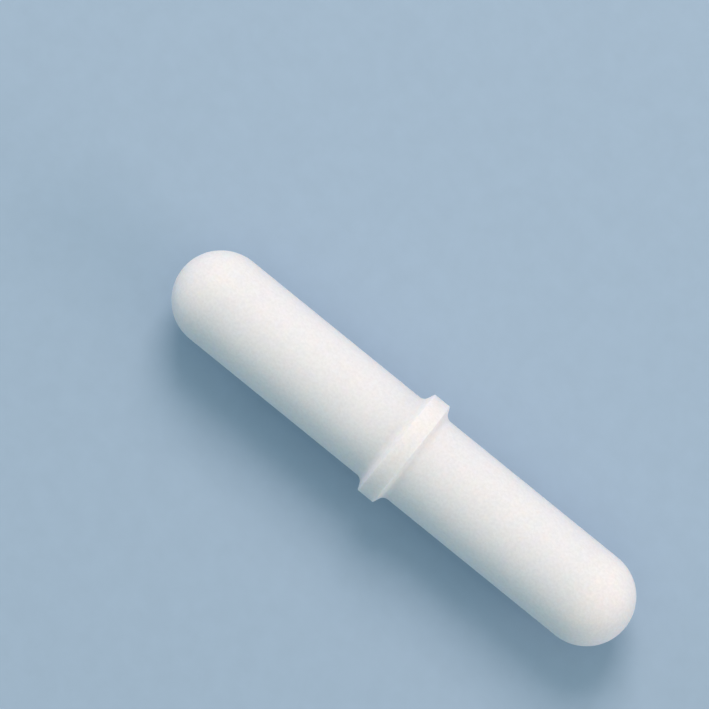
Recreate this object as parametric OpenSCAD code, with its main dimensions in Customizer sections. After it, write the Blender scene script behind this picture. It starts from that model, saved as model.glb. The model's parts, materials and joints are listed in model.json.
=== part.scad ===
// Magnetic stir bar: a cast rod magnet sealed in a one-piece moulded fluoropolymer jacket
// with round ends and a pivot ring at mid-length. Millimetres, bar along X, +Z up,
// origin on the axis at the middle of the ring.

/* [Body] */
// Overall length over the two round ends
overall_l = 45.7; // [30:0.1:80]
// Diameter of the cylindrical body and of its round ends
body_d = 8; // [6:0.1:12]
// Thickness of the jacket over the magnet
wall = 1; // [0.6:0.05:2]

/* [Pivot ring] */
// Height of the ring's rim above the body
ring_h = 0.925; // [0.7:0.025:1.5]
// Width of the ring's flat rim, measured to its sharp corners
rim_w = 1.55; // [0.8:0.05:4]
// Slope of the ring's two sides, in degrees from square to the body
ring_slope = 24; // [5:1:35]
// Radius of the hollow fillet between the ring and the body
root_r = 0.6; // [0.2:0.05:0.8]
// Radius of the rim's two edges
rim_r = 0.1; // [0.05:0.01:0.2]

/* [Magnet] */
// Chamfer on the two end edges of the magnet
magnet_chamfer = 0.5; // [0.1:0.05:1]
// How much further the magnet stops from the tip at +X than at -X
end_extra = 1.5; // [0:0.1:4]
// Gap between the magnet and the jacket, all round
magnet_gap = 0.02; // [0.01:0.01:0.1]

/* [Hidden] */
$fn = 96;

body_r = body_d / 2;
// Distance from the origin to the centre of each round end
dome_x = overall_l / 2 - body_r;

// Ring section: the flat rim, its sloping side and the two arcs that blend them
ring_r = body_r + ring_h;
rim_half = rim_w / 2;
side_l = ring_h / cos(ring_slope);
root_half = rim_half + ring_h * tan(ring_slope);
// An arc of radius r in either corner of the side touches both its lines this share of r from the corner
corner_share = tan((90 - ring_slope) / 2);
rim_cut = rim_r * corner_share;
// On a side too short for both arcs, the root fillet takes what the rim's arc leaves
root_fillet = min(root_r, side_l / corner_share - rim_r);
root_cut = root_fillet * corner_share;

// Magnet cavity: at -X it keeps its full diameter as far as the round end, so that the jacket is
// nowhere thinner than its wall, and the +X end is solid for a little longer
cavity_r = body_r - wall;
cavity_low = -dome_x - magnet_chamfer;
cavity_high = dome_x + magnet_chamfer - end_extra;

// A point on the ring's sloping side, as [radius, x], a given distance in from its rim corner
function side_point(from_rim) = [
    ring_r - from_rim * cos(ring_slope),
    rim_half + from_rim * sin(ring_slope)
];

// One half of the ring's section, from mid-length to the far end of its root fillet
module ring_section() {
    // Rim and sloping side, with the rim's corner cut off where its arc starts and ends
    polygon([
        [0, 0],
        [ring_r, 0],
        [ring_r, rim_half - rim_cut],
        side_point(rim_cut),
        [body_r, root_half],
        [0, root_half]
    ]);
    translate([ring_r - rim_r, rim_half - rim_cut]) circle(r = rim_r);
    // Root fillet: the corner between body and side, less the arc that hollows it
    difference() {
        polygon([
            [0, root_half],
            [body_r, root_half],
            side_point(side_l - root_cut),
            [body_r, root_half + root_cut],
            [0, root_half + root_cut]
        ]);
        translate([body_r + root_fillet, root_half + root_cut]) circle(r = root_fillet);
    }
}

// Half of the jacket's outline, in [radius, x], from the axis outwards
module outer_section() {
    square([body_r, dome_x]);
    intersection() {
        translate([0, dome_x]) circle(r = body_r);
        translate([0, dome_x]) square(body_r);
    }
    ring_section();
}

// A rod along X, from low to high, with both end edges chamfered
module chamfered_rod(r, low, high, chamfer) {
    rotate([0, 90, 0]) rotate_extrude() polygon([
        [0, low],
        [r - chamfer, low],
        [r, low + chamfer],
        [r, high - chamfer],
        [r - chamfer, high],
        [0, high]
    ]);
}

// The moulded jacket: one piece with the ring, closed all round over the magnet
module ptfe_jacket() {
    color("white") difference() {
        rotate([0, 90, 0]) rotate_extrude() {
            outer_section();
            mirror([0, 1]) outer_section();
        }
        chamfered_rod(cavity_r, cavity_low, cavity_high, magnet_chamfer);
    }
}

// The cast rod magnet, magnetised along its length
module rod_magnet() {
    color("dimgray") chamfered_rod(
        cavity_r - magnet_gap, cavity_low + magnet_gap, cavity_high - magnet_gap, magnet_chamfer
    );
}

ptfe_jacket();
rod_magnet();
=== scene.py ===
"""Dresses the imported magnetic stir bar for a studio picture.

The jacket is modelled afresh as one moulded fluoropolymer shell: round ends, a pivot ring with
hollow fillets, and the sealed cavity that the magnet lies in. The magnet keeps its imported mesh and
gets a cast alloy finish. A plain pale floor, three soft boxes and an even sky make the studio.

Lengths are in metres. The bar lies along X, the middle of its ring is at the origin and +Z is up.
"""

import json
import logging
import math
from collections.abc import Callable
from dataclasses import dataclass
from enum import Enum
from typing import Any

import bmesh
import bpy
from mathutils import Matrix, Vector


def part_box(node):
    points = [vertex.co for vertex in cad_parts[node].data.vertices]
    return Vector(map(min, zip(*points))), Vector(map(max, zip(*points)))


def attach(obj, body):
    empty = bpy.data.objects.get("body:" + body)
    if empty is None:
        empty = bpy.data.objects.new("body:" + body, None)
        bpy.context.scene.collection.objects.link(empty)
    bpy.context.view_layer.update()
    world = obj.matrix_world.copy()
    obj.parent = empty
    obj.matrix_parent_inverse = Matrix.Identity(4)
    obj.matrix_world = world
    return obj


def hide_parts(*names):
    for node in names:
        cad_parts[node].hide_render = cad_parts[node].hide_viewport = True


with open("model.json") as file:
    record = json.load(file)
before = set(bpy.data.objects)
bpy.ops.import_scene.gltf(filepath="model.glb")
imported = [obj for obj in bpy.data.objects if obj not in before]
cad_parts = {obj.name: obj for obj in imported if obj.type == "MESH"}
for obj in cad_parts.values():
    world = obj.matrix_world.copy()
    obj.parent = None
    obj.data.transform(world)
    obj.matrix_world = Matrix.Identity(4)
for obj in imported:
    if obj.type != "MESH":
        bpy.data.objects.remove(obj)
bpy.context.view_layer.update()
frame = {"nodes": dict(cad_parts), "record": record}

log = logging.getLogger("stir_bar")

MM = 0.001
# Two places closer than this are the same place
TOLERANCE = 0.0005 * MM
# The bevel profile that is a plain arc
ARC_PROFILE = 0.5

Colour = tuple[float, float, float]
Point = tuple[float, float, float]


class Body(Enum):
    """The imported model's bodies."""

    ROOT = "root"


class Node(Enum):
    """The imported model's nodes."""

    JACKET = "ptfe_jacket"
    MAGNET = "rod_magnet"


class Slot(Enum):
    """The record's material slots."""

    JACKET = "white_ptfe"
    MAGNET = "cast_magnet_alloy"


# Sizes ---------------------------------------------------------------------------------------


@dataclass(frozen=True)
class BarSizes:
    """The bar's sizes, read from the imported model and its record.

    Attributes:
        tip_x: distance from the middle of the ring to either tip.
        body_r: radius of the cylindrical body and of its round ends.
        dome_x: distance from the middle of the ring to where a round end begins.
        ring_r: radius of the pivot ring's rim.
        rim_land: width of the truly flat part of the rim.
        magnet_low: where the magnet ends at -X.
        magnet_high: where the magnet ends at +X.
        magnet_r: the magnet's radius.
    """

    tip_x: float
    body_r: float
    dome_x: float
    ring_r: float
    rim_land: float
    magnet_low: float
    magnet_high: float
    magnet_r: float

    @classmethod
    def from_record(cls, record: dict[str, Any]) -> "BarSizes":
        """Reads the sizes from the record's mounts and the nodes' boxes.

        Args:
            record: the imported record.

        Returns:
            The sizes.
        """
        mounts = {mount["name"]: mount for mount in record["mounts"]}
        ring = mounts["pivot_ring"]["dims"]
        body = mounts["body_plus_x"]
        magnet_low, magnet_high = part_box(Node.MAGNET.value)
        return cls(
            tip_x=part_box(Node.JACKET.value)[1].x,
            body_r=body["dims"]["r_mm"] * MM,
            dome_x=body["pos_m"][0] + body["dims"]["length_mm"] * MM / 2,
            ring_r=ring["r_mm"] * MM,
            rim_land=ring["length_mm"] * MM,
            magnet_low=magnet_low.x,
            magnet_high=magnet_high.x,
            magnet_r=max(magnet_high.y, magnet_high.z),
        )


# Node trees ----------------------------------------------------------------------------------


# Sockets of the Mix node, which go by number because several have the same name
MIX_SHARE = 0
MIX_NUMBERS = (2, 3)
MIX_NUMBER_RESULT = 0
MIX_COLOURS = (6, 7)
MIX_COLOUR_RESULT = 2


class Graph:
    """A node tree, with short ways to add and wire its nodes."""

    def __init__(self, tree: bpy.types.NodeTree) -> None:
        """Starts from an empty tree.

        Args:
            tree: the tree of a material, a world or a group.
        """
        self.tree = tree
        tree.nodes.clear()

    def feed(self, socket: bpy.types.NodeSocket, value: Any) -> None:
        """Links a socket to another node's output, or sets its own value.

        Args:
            socket: the input.
            value: an output socket, a number or a tuple.
        """
        if isinstance(value, bpy.types.NodeSocket):
            self.tree.links.new(value, socket)
        elif socket.type == "RGBA":
            socket.default_value = (*value, 1)
        else:
            socket.default_value = value

    def add(
        self,
        kind: str,
        inputs: dict[str | int, Any] | None = None,
        settings: dict[str, Any] | None = None,
    ) -> bpy.types.Node:
        """Adds a node.

        Args:
            kind: its type.
            inputs: what goes into its inputs, by name or number.
            settings: its other properties.

        Returns:
            The node.
        """
        node = self.tree.nodes.new(kind)
        for name, value in (settings or {}).items():
            setattr(node, name, value)
        for name, value in (inputs or {}).items():
            self.feed(node.inputs[name], value)
        return node

    def math(self, operation: str, first: Any, second: Any) -> bpy.types.NodeSocket:
        """Adds a Math node and returns its output."""
        return self.add("ShaderNodeMath", {0: first, 1: second}, {"operation": operation}).outputs[0]

    def between(
        self, value: Any, span: tuple[Any, Any], onto: tuple[Any, Any], smooth: bool = False
    ) -> bpy.types.NodeSocket:
        """Adds a clamped Map Range node.

        Args:
            value: what is mapped.
            span: the values that it has at the two ends.
            onto: the values that it gets there.
            smooth: whether it eases in and out.

        Returns:
            The mapped value.
        """
        inputs = {
            "Value": value,
            "From Min": span[0],
            "From Max": span[1],
            "To Min": onto[0],
            "To Max": onto[1],
        }
        settings = {"interpolation_type": "SMOOTHSTEP" if smooth else "LINEAR"}
        return self.add("ShaderNodeMapRange", inputs, settings).outputs["Result"]

    def mix(self, share: Any, first: Any, second: Any, blend: str = "MIX") -> bpy.types.NodeSocket:
        """Adds a colour Mix node.

        Args:
            share: how much of the second colour is mixed in.
            first: the colour at 0.
            second: the colour at 1.
            blend: how the two are blended.

        Returns:
            The mixed colour.
        """
        inputs = {MIX_SHARE: share, MIX_COLOURS[0]: first, MIX_COLOURS[1]: second}
        settings = {"data_type": "RGBA", "blend_type": blend}
        return self.add("ShaderNodeMix", inputs, settings).outputs[MIX_COLOUR_RESULT]

    def shade(self, colour: Any, by: Any) -> bpy.types.NodeSocket:
        """Adds a Mix node that multiplies a colour by a number, and returns its output."""
        return self.mix(1.0, colour, by, "MULTIPLY")

    def mix_numbers(self, share: Any, first: Any, second: Any) -> bpy.types.NodeSocket:
        """Adds a Mix node for two numbers and returns its output."""
        inputs = {MIX_SHARE: share, MIX_NUMBERS[0]: first, MIX_NUMBERS[1]: second}
        return self.add("ShaderNodeMix", inputs).outputs[MIX_NUMBER_RESULT]

    def bump(self, height: Any, distance: float) -> bpy.types.NodeSocket:
        """Adds a Bump node and returns its output.

        Args:
            height: the height, from 0 to 1.
            distance: how high 1 is.

        Returns:
            The normal.
        """
        inputs = {"Strength": 1.0, "Distance": distance, "Height": height}
        return self.add("ShaderNodeBump", inputs).outputs["Normal"]

    def coordinates(self, stretch: Point = (1, 1, 1)) -> bpy.types.NodeSocket:
        """Adds Object coordinates.

        Args:
            stretch: factors that they are scaled by.

        Returns:
            The coordinates.
        """
        place = self.add("ShaderNodeTexCoord").outputs["Object"]
        if stretch == (1, 1, 1):
            return place
        return self.add("ShaderNodeMapping", {"Vector": place, "Scale": stretch}).outputs["Vector"]

    def seen(self) -> bpy.types.NodeSocket:
        """Adds a mask that is 1 for what the camera sees, itself or in a reflection, and 0 for light.

        Returns:
            The mask.
        """
        ray = self.add("ShaderNodeLightPath").outputs
        direct = self.math("MAXIMUM", ray["Is Camera Ray"], ray["Is Glossy Ray"])
        return self.math("MAXIMUM", direct, ray["Is Transmission Ray"])


class SharedEffect:
    """A node group that more than one finish uses. It is made on its first use."""

    name = ""
    inputs: tuple[tuple[str, str], ...] = ()
    outputs: tuple[tuple[str, str], ...] = ()

    def wire(self, graph: Graph, given: dict[str, Any]) -> dict[str, Any]:
        """Wires the group's inside.

        Args:
            graph: the group's tree.
            given: the group's inputs by name.

        Returns:
            What goes to each output, by name.
        """
        raise NotImplementedError

    def tree(self) -> bpy.types.NodeTree:
        """Returns the group, which is built if it isn't there yet."""
        made = bpy.data.node_groups.get(self.name)
        if made:
            return made
        made = bpy.data.node_groups.new(self.name, "ShaderNodeTree")
        for name, kind in self.inputs:
            made.interface.new_socket(name, in_out="INPUT", socket_type=kind)
        for name, kind in self.outputs:
            made.interface.new_socket(name, in_out="OUTPUT", socket_type=kind)
        graph = Graph(made)
        start = graph.add("NodeGroupInput")
        given = {name: start.outputs[name] for name, _ in self.inputs}
        graph.add("NodeGroupOutput", self.wire(graph, given))
        return made

    def place(self, graph: Graph, values: dict[str, Any]) -> bpy.types.Node:
        """Places the group in a material.

        Args:
            graph: the material's tree.
            values: what goes into the group's inputs.

        Returns:
            The group's node.
        """
        node = graph.add("ShaderNodeGroup", settings={"node_tree": self.tree()})
        for name, value in values.items():
            graph.feed(node.inputs[name], value)
        return node


class Grain(SharedEffect):
    """Even grain of one size, such as that of a moulded, cast or pressed surface.

    Attributes:
        middle: the range in which most of the noise's values lie.
    """

    middle: tuple[float, float] = (0.3, 0.7)
    name = "grain"
    inputs = (
        ("Vector", "NodeSocketVector"),
        ("Grains per Metre", "NodeSocketFloat"),
        ("Detail", "NodeSocketFloat"),
        ("Low", "NodeSocketFloat"),
        ("High", "NodeSocketFloat"),
    )
    outputs = (("Grain", "NodeSocketFloat"),)

    def wire(self, graph: Graph, given: dict[str, Any]) -> dict[str, Any]:
        """Spreads the middle of a noise's range from Low to High.

        Args:
            graph: the group's tree.
            given: the group's inputs by name.

        Returns:
            The grain.
        """
        values = {
            "Vector": given["Vector"],
            "Scale": given["Grains per Metre"],
            "Detail": given["Detail"],
        }
        noise = graph.add("ShaderNodeTexNoise", values).outputs[0]
        return {"Grain": graph.between(noise, self.middle, (given["Low"], given["High"]))}


@dataclass(frozen=True)
class Grains:
    """The grain that one finish has.

    Attributes:
        per_metre: how many grains go to a metre.
        detail: how much finer structure is in them.
        low: the value in the hollows.
        high: the value on the heights.
    """

    per_metre: float
    detail: float
    low: float = 0.0
    high: float = 1.0

    def over(self, graph: Graph, place: bpy.types.NodeSocket) -> bpy.types.NodeSocket:
        """Spreads the grain over a material.

        Args:
            graph: the material's tree.
            place: the coordinates that it follows.

        Returns:
            The grain.
        """
        values = {
            "Vector": place,
            "Grains per Metre": self.per_metre,
            "Detail": self.detail,
            "Low": self.low,
            "High": self.high,
        }
        return Grain().place(graph, values).outputs["Grain"]


class Stretch(SharedEffect):
    """The stretch of the bar between two places along its length."""

    name = "stretch_along_bar"
    inputs = (
        ("Vector", "NodeSocketVector"),
        ("From", "NodeSocketFloat"),
        ("To", "NodeSocketFloat"),
        ("Blend", "NodeSocketFloat"),
    )
    outputs = (("Within", "NodeSocketFloat"), ("Outside", "NodeSocketFloat"))

    def wire(self, graph: Graph, given: dict[str, Any]) -> dict[str, Any]:
        """Measures how far inside the stretch a place lies.

        Args:
            graph: the group's tree.
            given: the group's inputs by name.

        Returns:
            Two masks: within the stretch, and outside it.
        """
        x = graph.add("ShaderNodeSeparateXYZ", {"Vector": given["Vector"]}).outputs["X"]
        past_start = graph.math("SUBTRACT", x, given["From"])
        before_end = graph.math("SUBTRACT", given["To"], x)
        inside = graph.math("MINIMUM", past_start, before_end)
        half = graph.math("MULTIPLY", given["Blend"], 0.5)
        minus_half = graph.math("MULTIPLY", given["Blend"], -0.5)
        within = graph.between(inside, (minus_half, half), (0.0, 1.0), smooth=True)
        return {"Within": within, "Outside": graph.math("SUBTRACT", 1.0, within)}

    def along(self, graph: Graph, low: float, high: float, blend: float) -> bpy.types.Node:
        """Places the group in a material.

        Args:
            graph: the material's tree.
            low: where the stretch begins.
            high: where it ends.
            blend: the length over which it blends in at either end.

        Returns:
            The group's node.
        """
        values = {"Vector": graph.coordinates(), "From": low, "To": high, "Blend": blend}
        return self.place(graph, values)


# Finishes ------------------------------------------------------------------------------------


class Finish:
    """A procedural material."""

    name = ""

    def wire(self, graph: Graph) -> dict[str, Any]:
        """Wires the finish.

        Args:
            graph: the material's tree.

        Returns:
            What goes into the inputs of the Principled BSDF.
        """
        raise NotImplementedError

    def cover(self, graph: Graph, shader: bpy.types.NodeSocket) -> bpy.types.NodeSocket:
        """Lays another shader over the Principled BSDF. Most finishes lay none.

        Args:
            graph: the material's tree.
            shader: the output of the Principled BSDF.

        Returns:
            What goes to the material's surface.
        """
        return shader

    def material(self) -> bpy.types.Material:
        """Makes the material.

        Returns:
            The material.
        """
        made = bpy.data.materials.new(self.name)
        made.use_nodes = True
        graph = Graph(made.node_tree)
        shader = graph.add("ShaderNodeBsdfPrincipled", self.wire(graph))
        graph.add("ShaderNodeOutputMaterial", {"Surface": self.cover(graph, shader.outputs[0])})
        return made

    def dress(self, piece: bpy.types.Object) -> None:
        """Gives the piece this finish and no other.

        Args:
            piece: a mesh object.
        """
        piece.data.materials.clear()
        piece.data.materials.append(self.material())


@dataclass(frozen=True)
class MouldedPtfe(Finish):
    """White fluoropolymer, moulded: waxy, rather matt and slightly translucent.

    Attributes:
        sizes: the bar's sizes, which say where the jacket is solid.
        over_magnet: colour where the magnet lies close under the surface.
        solid: warmer colour where the jacket is solid.
        ring_half: half the width of the ring's solid band.
        ring_blend: length over which the colour changes beside the ring.
        magnet_blend: length over which it changes at the magnet's ends.
        depth: how far light spreads under the surface.
        spread: how much of that depth red, green and blue light reach.
        clouds: wide, faint clouds in the colour.
        roughness: the roughness, with its own fine grain.
        skin: the skin's finest pits.
        painted_pit_shade: painted shade in the skin's pits, darker where the bump is low, as a share
            of the rest; it also speckles the colour.
        pit_depth: how deep they are.
        refraction: index of refraction.
        gloss: strength of the gloss, where 0.5 is what the refraction alone gives.
    """

    sizes: BarSizes
    over_magnet: Colour = (0.902, 0.902, 0.902)
    solid: Colour = (0.905, 0.902, 0.895)
    ring_half: float = 1.2 * MM
    ring_blend: float = 1.2 * MM
    magnet_blend: float = 2.5 * MM
    depth: float = 1.3 * MM
    spread: Colour = (1.0, 0.8, 0.65)
    clouds: Grains = Grains(per_metre=170.0, detail=2.0, low=0.985)
    roughness: Grains = Grains(per_metre=900.0, detail=3.0, low=0.60, high=0.70)
    skin: Grains = Grains(per_metre=4200.0, detail=2.0)
    # Brightness of the painted shade in the skin's pits, as a share of the rest
    painted_pit_shade: float = 0.93
    pit_depth: float = 0.002 * MM
    refraction: float = 1.35
    gloss: float = 0.3
    name: str = "moulded_ptfe"

    def wire(self, graph: Graph) -> dict[str, Any]:
        """Wires the finish.

        Args:
            graph: the material's tree.

        Returns:
            What goes into the inputs of the Principled BSDF.
        """
        place = graph.coordinates()
        sizes = self.sizes
        ring = Stretch().along(graph, -self.ring_half, self.ring_half, self.ring_blend)
        magnet = Stretch().along(graph, sizes.magnet_low, sizes.magnet_high, self.magnet_blend)
        solid = graph.math("MAXIMUM", ring.outputs["Within"], magnet.outputs["Outside"])
        tone = graph.mix(solid, self.over_magnet, self.solid)
        clouded = graph.shade(tone, self.clouds.over(graph, place))
        skin = self.skin.over(graph, place)
        # Painted shade in the skin's pits: the colour darkens where the bump is low, giving a fine
        # speckle
        pits = graph.between(skin, (0.0, 1.0), (self.painted_pit_shade, 1.0))
        return {
            "Base Color": graph.shade(clouded, pits),
            "Roughness": self.roughness.over(graph, place),
            "Normal": graph.bump(skin, self.pit_depth),
            "IOR": self.refraction,
            "Specular IOR Level": self.gloss,
            "Subsurface Weight": 1.0,
            "Subsurface Radius": self.spread,
            "Subsurface Scale": self.depth,
        }


@dataclass(frozen=True)
class CastAlloy(Finish):
    """Cast magnet alloy: dark, hard and finely pitted, with its two end faces ground.

    Attributes:
        sizes: the bar's sizes, which say where the magnet ends.
        dark: colour in the hollows.
        light: colour of the metal.
        ground: colour of the ground end faces.
        pits: the casting's pits.
        lines: the grinding lines.
        line_stretch: stretch of the coordinates that draws the lines out.
        end_blend: length over which one finish passes into the other.
        relief: how deep the pits and lines are.
        hollow_roughness: roughness in the hollows.
        metal_roughness: roughness of the metal.
    """

    sizes: BarSizes
    dark: Colour = (0.16, 0.155, 0.15)
    light: Colour = (0.33, 0.32, 0.31)
    ground: Colour = (0.48, 0.47, 0.455)
    pits: Grains = Grains(per_metre=1500.0, detail=6.0)
    lines: Grains = Grains(per_metre=260.0, detail=3.0)
    line_stretch: Point = (1, 1, 30)
    end_blend: float = 0.1 * MM
    relief: float = 0.01 * MM
    hollow_roughness: float = 0.58
    metal_roughness: float = 0.4
    name: str = "cast_magnet_alloy"

    def wire(self, graph: Graph) -> dict[str, Any]:
        """Wires the finish.

        Args:
            graph: the material's tree.

        Returns:
            What goes into the inputs of the Principled BSDF.
        """
        sizes = self.sizes
        pits = self.pits.over(graph, graph.coordinates())
        lines = self.lines.over(graph, graph.coordinates(self.line_stretch))
        side = Stretch().along(graph, sizes.magnet_low, sizes.magnet_high, self.end_blend)
        ends = side.outputs["Outside"]
        cast = graph.mix(pits, self.dark, self.light)
        height = graph.mix_numbers(ends, pits, lines)
        roughness = (self.hollow_roughness, self.metal_roughness)
        return {
            "Base Color": graph.mix(ends, cast, self.ground),
            "Metallic": 1.0,
            "Roughness": graph.between(height, (0.0, 1.0), roughness),
            "Normal": graph.bump(height, self.relief),
        }


@dataclass(frozen=True)
class Paper(Finish):
    """Matt studio paper, which passes into the backdrop further out.

    Attributes:
        colour: the paper's colour where it is seen.
        bounce: its deeper colour in the light that it throws back.
        backdrop: the backdrop's colour.
        fibres: faint fibres in the paper's colour.
        roughness: the paper's roughness.
        gloss: strength of its gloss, where 0.5 is what the refraction alone gives.
        fade_from: distance from the bar at which the paper begins to fade.
        fade_to: distance at which only the backdrop is left.
    """

    colour: Colour
    bounce: Colour
    backdrop: Colour
    fibres: Grains = Grains(per_metre=700.0, detail=3.0, low=0.97)
    roughness: float = 0.9
    gloss: float = 0.2
    fade_from: float = 0.10
    fade_to: float = 0.40
    name: str = "studio_paper"

    def wire(self, graph: Graph) -> dict[str, Any]:
        """Wires the finish.

        Args:
            graph: the material's tree.

        Returns:
            What goes into the inputs of the Principled BSDF.
        """
        tone = graph.mix(graph.seen(), self.bounce, self.colour)
        return {
            "Base Color": graph.shade(tone, self.fibres.over(graph, graph.coordinates())),
            "Roughness": self.roughness,
            "Specular IOR Level": self.gloss,
        }

    def cover(self, graph: Graph, shader: bpy.types.NodeSocket) -> bpy.types.NodeSocket:
        """Lays the backdrop's colour over the paper further out, where it is seen.

        Args:
            graph: the material's tree.
            shader: the output of the Principled BSDF.

        Returns:
            What goes to the material's surface.
        """
        away = graph.add("ShaderNodeVectorMath", {0: graph.coordinates()}, {"operation": "LENGTH"})
        fade = (self.fade_from, self.fade_to)
        faded = graph.between(away.outputs["Value"], fade, (0.0, 1.0), smooth=True)
        shown = graph.math("MULTIPLY", faded, graph.seen())
        backdrop = graph.add("ShaderNodeEmission", {"Color": self.backdrop, "Strength": 1.0})
        layers = {0: shown, 1: shader, 2: backdrop.outputs[0]}
        return graph.add("ShaderNodeMixShader", layers).outputs[0]


# Modelling -----------------------------------------------------------------------------------


def around_axis(place: Vector) -> float:
    """Returns a place's distance from the X axis."""
    return math.hypot(place.y, place.z)


class Bench:
    """One mesh in edit mode, turned up around the X axis ring by ring."""

    def __init__(self, name: str, sides: int) -> None:
        """Clears the selection, so that only the new mesh is worked on.

        Args:
            name: what the finished object is called.
            sides: how many faces go round the axis.
        """
        bpy.ops.object.select_all(action="DESELECT")
        self.name = name
        self.sides = sides
        self.x = 0.0
        self.radius = 0.0

    def start(self, x: float, radius: float) -> None:
        """Adds an open circle around the axis, and selects it in edit mode.

        Args:
            x: where it crosses the axis.
            radius: its radius.
        """
        bpy.ops.mesh.primitive_circle_add(
            vertices=self.sides,
            radius=radius,
            fill_type="NOTHING",
            location=(x, 0, 0),
            rotation=(0, math.pi / 2, 0),
        )
        bpy.context.object.name = self.name
        bpy.ops.object.transform_apply(location=True, rotation=True, scale=True)
        bpy.ops.object.mode_set(mode="EDIT")
        bpy.ops.mesh.select_mode(type="EDGE")
        bpy.ops.mesh.select_all(action="SELECT")
        self.x = x
        self.radius = radius

    def grow(self, x: float, radius: float) -> None:
        """Extrudes the selected ring of edges along the axis, and scales the new one.

        Args:
            x: where the new ring crosses the axis.
            radius: its radius.
        """
        bpy.ops.mesh.extrude_region_move(TRANSFORM_OT_translate={"value": (x - self.x, 0, 0)})
        share = radius / self.radius
        bpy.ops.transform.resize(value=(1, share, share), center_override=(x, 0, 0))
        self.x = x
        self.radius = radius

    def close(self, x: float) -> None:
        """Extrudes the selected ring of edges once more, and draws the new one together.

        Args:
            x: where the closing point lies on the axis.
        """
        bpy.ops.mesh.extrude_region_move(TRANSFORM_OT_translate={"value": (x - self.x, 0, 0)})
        bpy.ops.mesh.merge(type="CENTER")

    def select_edges(self, wanted: Callable[[Vector, Vector], bool]) -> None:
        """Selects the edges whose two ends pass a test, and nothing else.

        Args:
            wanted: takes an edge's two ends, and says whether it is selected.
        """
        bpy.ops.mesh.select_all(action="DESELECT")
        mesh = bmesh.from_edit_mesh(bpy.context.edit_object.data)
        found = [edge for edge in mesh.edges if wanted(edge.verts[0].co, edge.verts[1].co)]
        if not found:
            raise ValueError(f"{self.name}: no edge lies there")
        for edge in found:
            edge.select_set(True)
        bmesh.update_edit_mesh(bpy.context.edit_object.data)

    def select_ring(self, x: float, radius: float) -> None:
        """Selects the ring of edges at one place.

        Args:
            x: where it crosses the axis.
            radius: its radius.
        """

        def on_ring(place: Vector) -> bool:
            """Says whether a place lies on the ring."""
            return abs(place.x - x) < TOLERANCE and abs(around_axis(place) - radius) < TOLERANCE

        self.select_edges(lambda first, second: on_ring(first) and on_ring(second))
        self.x = x
        self.radius = radius

    def round_off(self, x: float, radius: float, cut: float, segments: int) -> None:
        """Bevels the ring of edges at one place into an arc.

        Args:
            x: where it crosses the axis.
            radius: its radius.
            cut: how far from it the arc starts, along the faces on its two sides.
            segments: how many rings of faces the arc has.
        """
        self.select_ring(x, radius)
        bpy.ops.mesh.bevel(
            offset_type="OFFSET", offset=cut, segments=segments, profile=ARC_PROFILE
        )

    def divide(self, low: float, high: float, cuts: int) -> None:
        """Divides the faces of a straight stretch into equal lengths.

        Args:
            low: where it begins.
            high: where it ends.
            cuts: how many rings of edges are added.
        """

        def spans(first: Vector, second: Vector) -> bool:
            """Says whether an edge runs the whole length of the stretch."""
            start, end = sorted((first.x, second.x))
            return abs(start - low) < TOLERANCE and abs(end - high) < TOLERANCE

        self.select_edges(spans)
        bpy.ops.mesh.subdivide(number_cuts=cuts, smoothness=0)

    def finish(self, inwards: bool = False) -> bpy.types.Object:
        """Merges doubles, makes the normals agree and leaves edit mode.

        Args:
            inwards: whether the faces point towards the axis, as a cavity's do.

        Returns:
            The object.
        """
        bpy.ops.mesh.select_all(action="SELECT")
        bpy.ops.mesh.remove_doubles(threshold=TOLERANCE)
        bpy.ops.mesh.normals_make_consistent(inside=inwards)
        bpy.ops.object.mode_set(mode="OBJECT")
        return bpy.context.object


# The bar -------------------------------------------------------------------------------------


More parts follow.
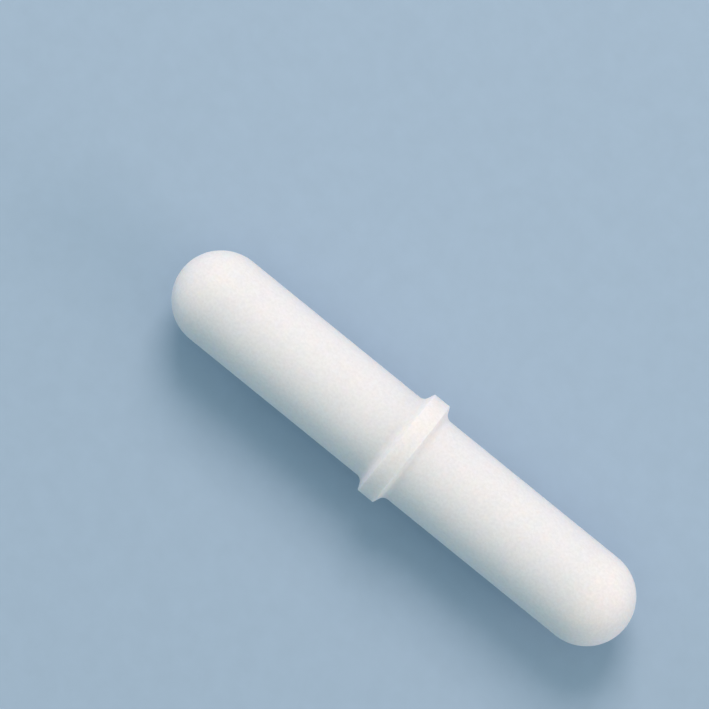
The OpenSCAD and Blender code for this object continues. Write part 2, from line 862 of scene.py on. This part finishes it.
@dataclass(frozen=True)
class Jacket:
    """The moulded jacket: body, round ends and pivot ring in one piece, around a sealed cavity.

    Attributes:
        sizes: the bar's sizes.
        side_slope: slope of the ring's two sides, from square to the body.
        rim_edge_r: radius of the rim's two edges.
        fillet_r: radius of the hollow fillet between the ring and the body.
        magnet_gap: gap between the magnet and the cavity's wall.
        magnet_chamfer: chamfer of the magnet's ends, which the cavity follows.
        sides: faces round the jacket.
        cavity_sides: faces round the cavity.
        dome_rings: rings of faces from the body to a tip.
        rim_edge_rings: rings of faces in the arc of a rim edge.
        fillet_rings: rings of faces in a fillet.
        rim_cuts: cuts that divide half the rim's flat.
        body_cuts: cuts that divide the straight body on one side of the ring.
        cavity_cuts: cuts that divide the cavity's straight wall.
        smooth_below: faces that meet at less than this angle are shaded as one.
    """

    sizes: BarSizes
    side_slope: float = math.radians(24)
    rim_edge_r: float = 0.1 * MM
    fillet_r: float = 0.6 * MM
    magnet_gap: float = 0.02 * MM
    magnet_chamfer: float = 0.5 * MM
    sides: int = 160
    cavity_sides: int = 96
    dome_rings: int = 30
    rim_edge_rings: int = 6
    fillet_rings: int = 12
    rim_cuts: int = 2
    body_cuts: int = 26
    cavity_cuts: int = 12
    smooth_below: float = math.radians(30)

    @property
    def corner_share(self) -> float:
        """An arc in a corner of the ring's side starts this share of its radius from the corner."""
        return math.tan((math.pi / 2 - self.side_slope) / 2)

    @property
    def rim_half(self) -> float:
        """Half the rim's width, to its sharp corners."""
        return self.sizes.rim_land / 2 + self.rim_edge_r * self.corner_share

    @property
    def root_half(self) -> float:
        """Where the ring's side meets the body, before the fillet."""
        height = self.sizes.ring_r - self.sizes.body_r
        return self.rim_half + height * math.tan(self.side_slope)

    def outside(self) -> bpy.types.Object:
        """Models the +X half of the skin, and mirrors it across the middle of the ring.

        Returns:
            The closed skin.
        """
        sizes = self.sizes
        bench = Bench("jacket", self.sides)
        bench.start(0, sizes.ring_r)
        bench.grow(self.rim_half, sizes.ring_r)
        bench.grow(self.root_half, sizes.body_r)
        bench.grow(sizes.dome_x, sizes.body_r)
        for ring in range(1, self.dome_rings):
            turn = math.pi / 2 * ring / self.dome_rings
            bench.grow(
                sizes.dome_x + sizes.body_r * math.sin(turn),
                sizes.body_r * math.cos(turn),
            )
        bench.close(sizes.tip_x)
        rim_cut = self.rim_edge_r * self.corner_share
        root_cut = self.fillet_r * self.corner_share
        bench.round_off(self.rim_half, sizes.ring_r, rim_cut, self.rim_edge_rings)
        bench.round_off(self.root_half, sizes.body_r, root_cut, self.fillet_rings)
        bench.divide(0, self.rim_half - rim_cut, self.rim_cuts)
        bench.divide(self.root_half + root_cut, sizes.dome_x, self.body_cuts)
        skin = bench.finish()
        bpy.ops.object.modifier_add(type="MIRROR")
        mirror = skin.modifiers[-1]
        mirror.merge_threshold = TOLERANCE
        bpy.ops.object.modifier_apply(modifier=mirror.name)
        bpy.ops.object.mode_set(mode="EDIT")
        return bench.finish()

    def cavity(self) -> bpy.types.Object:
        """Models the cavity's wall, which follows the magnet and faces inwards.

        Returns:
            The wall.
        """
        low = self.sizes.magnet_low - self.magnet_gap
        high = self.sizes.magnet_high + self.magnet_gap
        radius = self.sizes.magnet_r + self.magnet_gap
        end_r = radius - self.magnet_chamfer
        wall_low = low + self.magnet_chamfer
        wall_high = high - self.magnet_chamfer
        bench = Bench("cavity", self.cavity_sides)
        bench.start(low, end_r)
        bench.grow(wall_low, radius)
        bench.grow(wall_high, radius)
        bench.grow(high, end_r)
        bench.close(high)
        bench.select_ring(low, end_r)
        bench.close(low)
        bench.divide(wall_low, wall_high, self.cavity_cuts)
        return bench.finish(inwards=True)

    def build(self) -> bpy.types.Object:
        """Models the jacket and dresses it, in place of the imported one.

        Returns:
            The jacket.
        """
        jacket = self.outside()
        cavity = self.cavity()
        jacket.select_set(True)
        cavity.select_set(True)
        bpy.context.view_layer.objects.active = jacket
        bpy.ops.object.join()
        bpy.ops.object.shade_smooth_by_angle(angle=self.smooth_below)
        MouldedPtfe(self.sizes).dress(jacket)
        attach(jacket, Body.ROOT.value)
        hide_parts(Node.JACKET.value)
        return jacket


@dataclass(frozen=True)
class Magnet:
    """The cast rod magnet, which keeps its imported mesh.

    Attributes:
        sizes: the bar's sizes.
    """

    sizes: BarSizes

    def build(self) -> bpy.types.Object:
        """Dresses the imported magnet.

        Returns:
            The magnet.
        """
        magnet = frame["nodes"][Node.MAGNET.value]
        CastAlloy(self.sizes).dress(magnet)
        return magnet


# The studio ----------------------------------------------------------------------------------


@dataclass(frozen=True)
class SoftBox:
    """A square soft box, hung at some height around the bar and facing it.

    Attributes:
        name: what it is called.
        turn: where it stands round the vertical, counted from +X.
        rise: how high it hangs above the horizon.
        width: its width.
        power: its power in watts.
        colour: colour of its light.
        distance: how far it is from the bar.
    """

    name: str
    turn: float
    rise: float
    width: float
    power: float
    colour: Colour
    distance: float = 0.65

    def build(self) -> bpy.types.Object:
        """Hangs the soft box.

        Returns:
            The lamp, which no camera sees.
        """
        level = math.cos(self.rise)
        toward = Vector(
            (level * math.cos(self.turn), level * math.sin(self.turn), math.sin(self.rise))
        )
        lamp = bpy.data.lights.new(self.name, "AREA")
        lamp.shape = "SQUARE"
        lamp.size = self.width
        lamp.energy = self.power
        lamp.color = self.colour
        hung = bpy.data.objects.new(self.name, lamp)
        hung.location = toward * self.distance
        hung.rotation_euler = toward.to_track_quat("Z", "Y").to_euler()
        hung.visible_camera = False
        bpy.context.scene.collection.objects.link(hung)
        return hung


@dataclass(frozen=True)
class Studio:
    """A pale floor, three soft boxes, an even sky and the camera above.

    Attributes:
        floor_z: height of the floor.
        floor_width: the floor's width.
        paper: the floor's colour.
        bounce: the floor's colour in the light that it throws back on the bar.
        fill: colour of the light from the sky.
        backdrop: colour that the camera and reflections see past the floor.
        key: the main soft box, up behind the bar.
        side: a low soft box that lights the end at +X and that side of the ring.
        far_side: a weaker one that does the same at -X.
        camera_place: where the camera is.
        camera_turn: how far the camera is turned round the vertical.
        lens: focal length in millimetres.
        sensor: width of the sensor in millimetres.
    """

    floor_z: float
    floor_width: float = 1.3
    paper: Colour = (0.39, 0.53, 0.67)
    bounce: Colour = (0.22, 0.375, 0.55)
    fill: Colour = (0.385, 0.474, 0.486)
    backdrop: Colour = (0.38, 0.47, 0.58)
    key: SoftBox = SoftBox(
        name="key",
        turn=math.radians(118),
        rise=math.radians(47),
        width=0.30,
        power=2.57,
        colour=(1.0, 0.796, 0.736),
    )
    side: SoftBox = SoftBox(
        name="side",
        turn=math.radians(12),
        rise=math.radians(18),
        width=0.36,
        power=1.45,
        colour=(1.0, 0.764, 0.712),
    )
    far_side: SoftBox = SoftBox(
        name="far_side",
        turn=math.radians(175),
        rise=math.radians(12),
        width=0.36,
        power=0.57,
        colour=(1.0, 0.88, 0.96),
    )
    camera_place: Point = (-7.804 * MM, 3.350 * MM, 0.600)
    camera_turn: float = math.radians(39.04)
    lens: float = 380.0
    sensor: float = 36.0

    def floor(self) -> bpy.types.Object:
        """Lays the floor.

        Returns:
            The floor.
        """
        bpy.ops.object.select_all(action="DESELECT")
        bpy.ops.mesh.primitive_plane_add(size=self.floor_width, location=(0, 0, self.floor_z))
        bpy.ops.object.transform_apply(location=True, rotation=True, scale=True)
        floor = bpy.context.object
        floor.name = "floor"
        Paper(self.paper, self.bounce, self.backdrop).dress(floor)
        return floor

    def sky(self) -> bpy.types.World:
        """Makes the sky: even light, with the backdrop's colour where it is seen.

        Returns:
            The world.
        """
        world = bpy.data.worlds.new("sky")
        world.use_nodes = True
        graph = Graph(world.node_tree)
        colour = graph.mix(graph.seen(), self.fill, self.backdrop)
        light = graph.add("ShaderNodeBackground", {"Color": colour, "Strength": 1.0})
        graph.add("ShaderNodeOutputWorld", {"Surface": light.outputs[0]})
        bpy.context.scene.world = world
        return world

    def camera(self) -> bpy.types.Object:
        """Sets up the camera, which looks straight down.

        Returns:
            The camera.
        """
        optics = bpy.data.cameras.new("camera")
        optics.lens = self.lens
        optics.sensor_width = self.sensor
        camera = bpy.data.objects.new("camera", optics)
        camera.location = self.camera_place
        camera.rotation_euler = (0, 0, self.camera_turn)
        bpy.context.scene.collection.objects.link(camera)
        bpy.context.scene.camera = camera
        return camera

    def build(self) -> list[Any]:
        """Builds the studio.

        Returns:
            Its parts.
        """
        bpy.context.scene.view_settings.view_transform = "Standard"
        lamps = [box.build() for box in (self.key, self.side, self.far_side)]
        return [self.floor(), *lamps, self.sky(), self.camera()]


def main() -> None:
    """Builds the bar and its studio."""
    logging.basicConfig(level=logging.INFO, format="%(name)s: %(message)s")
    sizes = BarSizes.from_record(frame["record"])
    for piece in (Jacket(sizes).build(), Magnet(sizes).build()):
        log.info("piece %s: %d faces", piece.name, len(piece.data.polygons))
    for part in Studio(floor_z=-sizes.ring_r).build():
        log.info("studio: %s", part.name)


if __name__ == "__main__":
    main()
